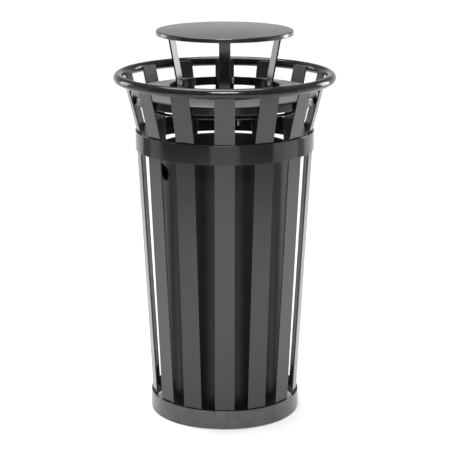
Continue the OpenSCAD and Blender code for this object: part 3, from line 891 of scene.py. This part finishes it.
def buildCap():
    sheet, bend = lidSizes["sheet"], lidSizes["capRound"]
    edgeZ = capLow + lidSizes["capLip"]
    crown = capHigh - edgeZ
    flat = capR - bend

    def domeZ(r):
        return edgeZ + crown * (1 - (r / capR) ** 2)

    outline = [(flat * k / 18, domeZ(flat * k / 18)) for k in range(19)]
    outline += arcPoints(flat, domeZ(flat) - bend, bend, 86, 0, 8)
    outline += [(capR, capLow + 0.0020)] + arcPoints(capR - 0.0016, capLow + 0.0016, 0.0016, 0, -180, 8)
    outline += [(capR - 0.0032, capLow + 0.0026), (capR - sheet, capLow + 0.0034)]
    outline += arcPoints(flat, domeZ(flat) - bend, bend - sheet, 0, 88, 6)
    outline += [(flat * k / 18, domeZ(flat * k / 18) - sheet) for k in range(17, -1, -1)]
    newObject("rainCap", *revolve(outline, lidSizes["segments"], closed=False), "lid", "cap_coat", capCoat,
              ("rain_cap",))


buildDeck()
buildCollar()
buildRing()
buildLegs()
buildCap()
buildEye("lidEye", "lid_eye_bolt", "lid_eye_nut", "lid", collarOutR - lidSizes["collarThick"], collarOutR)
print("lid built")


# studio: pale floor, soft light and the camera

floorLook = {"size": 60.0, "colour": (0.80, 0.80, 0.805), "darker": 0.985, "rough": 0.7}
lightLook = {"horizon": 0.82, "sky": 0.26, "skyFrom": 0.07, "skyTo": 0.38, "sun": 3.4, "sunAngle": 50.0,
             "sunFrom": (-0.5, 0.6, 4.0), "front": 130.0, "frontSize": (1.5, 0.6), "frontFrom": (0.0, -3.0, 3.1),
             "frontAt": (0, 0, 0.95), "rear": (20.0, 38.0), "rearSize": (0.9, 1.8), "rearFrom": (2.6, 1.5, 1.3),
             "rearAt": (0, 0, 0.9)}
flagLook = {"lift": 0.04, "wallLow": 0.05, "wallNear": 6.5, "wallTop": 1.9, "wallSpan": (-168.0, -12.0),
            "wallShade": 0.03,
            "cards": ((-216, -197, 2.7, 9.0, 0.10), (-197, -177, 2.7, 9.0, 0.50), (-177, -108, 3.5, 9.0, 0.03),
                      (-172, -108, 1.9, 3.5, 0.36), (-108, -72, 2.4, 9.0, 0.52), (-72, -27, 3.5, 9.0, 0.03),
                      (-72, -12, 1.9, 3.5, 0.30), (14, 30, 2.7, 9.0, 0.25))}    # bearings, near, far, shade
cameraLook = {"distance": 4.341, "height": 1.628, "pitch": 14.2, "lens": 127.85, "sensor": 36.0,
              "aside": 0.0008}


def buildFloor():
    half = floorLook["size"] / 2
    mesh = bpy.data.meshes.new("studioFloor")
    mesh.from_pydata([(-half, -half, 0), (half, -half, 0), (half, half, 0), (-half, half, 0)], [], [(0, 1, 2, 3)])
    floor = bpy.data.objects.new("studioFloor", mesh)
    scene.collection.objects.link(floor)
    material, tree, shader = startMaterial("studioPaper")
    tone = mixColour(tree, stepMask(tree, noiseAt(tree, 2.0, 3.0), 0.3, 0.7), floorLook["colour"],
                     tuple(c * floorLook["darker"] for c in floorLook["colour"]))
    tree.links.new(tone, shader.inputs["Base Color"])
    shader.inputs["Roughness"].default_value = floorLook["rough"]
    mesh.materials.append(material)


def studioCard(rows, shade):
    # a cloth card that only the coats' reflections see
    mesh = bpy.data.meshes.new("studioCard")
    verts = [point for row in rows for point in row]
    mesh.from_pydata(verts, [], [(2 * k, 2 * k + 1, 2 * k + 3, 2 * k + 2) for k in range(len(rows) - 1)])
    card = bpy.data.objects.new("studioCard", mesh)
    scene.collection.objects.link(card)
    material, tree, shader = startMaterial("cardCloth")
    tone = mixColour(tree, noiseAt(tree, 40.0, 2.0), (shade,) * 3, (shade * 1.1,) * 3)
    tree.links.new(tone, shader.inputs["Base Color"])
    shader.inputs["Roughness"].default_value = 0.95
    mesh.materials.append(material)
    card.visible_camera = False
    card.visible_shadow = False
    card.visible_diffuse = False


def buildFlags():
    def sweep(start, end):
        angles = [math.radians(start + (end - start) * k / 16) for k in range(17)]
        return [(math.cos(a), math.sin(a)) for a in angles]

    lift = flagLook["lift"]
    for start, end, inner, outer, shade in flagLook["cards"]:
        studioCard([((inner * c, inner * d, lift), (outer * c, outer * d, lift)) for c, d in sweep(start, end)], shade)
    near, low, top = flagLook["wallNear"], flagLook["wallLow"], flagLook["wallTop"]
    studioCard([((near * c, near * d, low), (near * c, near * d, top)) for c, d in sweep(*flagLook["wallSpan"])],
               flagLook["wallShade"])


def placeLight(name, kind, power, place, target):
    data = bpy.data.lights.new(name, kind)
    data.energy = power
    lamp = bpy.data.objects.new(name, data)
    lamp.location = place
    lamp.rotation_euler = (Vector(target) - Vector(place)).to_track_quat("-Z", "Y").to_euler()
    lamp.visible_camera = False
    scene.collection.objects.link(lamp)
    return data


def softBox(name, power, size, place, target):
    data = placeLight(name, "AREA", power, place, target)
    data.shape = "RECTANGLE"
    data.size, data.size_y = size


def buildStudio():
    buildFloor()
    buildFlags()
    world = bpy.data.worlds.new("studioWorld")
    scene.world = world
    world.use_nodes = True
    tree = world.node_tree
    place = tree.nodes.new("ShaderNodeTexCoord")
    split = tree.nodes.new("ShaderNodeSeparateXYZ")
    fade = tree.nodes.new("ShaderNodeMapRange")
    fade.interpolation_type = "SMOOTHSTEP"
    for label, value in (("From Min", lightLook["skyFrom"]), ("From Max", lightLook["skyTo"]),
                         ("To Min", lightLook["horizon"]), ("To Max", lightLook["sky"])):
        fade.inputs[label].default_value = value
    tree.links.new(place.outputs["Generated"], split.inputs["Vector"])
    tree.links.new(split.outputs["Z"], fade.inputs["Value"])
    tree.nodes["Background"].inputs["Color"].default_value = (1, 1, 1, 1)
    tree.links.new(fade.outputs["Result"], tree.nodes["Background"].inputs["Strength"])
    overhead = placeLight("overheadSilk", "SUN", lightLook["sun"], lightLook["sunFrom"], (0, 0, 0))
    overhead.angle = math.radians(lightLook["sunAngle"])
    softBox("frontBox", lightLook["front"], lightLook["frontSize"], lightLook["frontFrom"], lightLook["frontAt"])
    across, back, up = lightLook["rearFrom"]
    for side, power in zip((-1, 1), lightLook["rear"]):
        softBox("rearBox", power, lightLook["rearSize"], (side * across, back, up), lightLook["rearAt"])
    scene.view_settings.view_transform = "Standard"


def buildCamera():
    data = bpy.data.cameras.new("shotCamera")
    data.lens = cameraLook["lens"]
    data.sensor_width = cameraLook["sensor"]
    data.clip_end = 100.0
    camera = bpy.data.objects.new("shotCamera", data)
    camera.location = (cameraLook["aside"], -cameraLook["distance"], cameraLook["height"])
    camera.rotation_euler = (math.radians(90 - cameraLook["pitch"]), 0, 0)
    scene.collection.objects.link(camera)
    scene.camera = camera


buildStudio()
buildCamera()
print("studio and camera set")
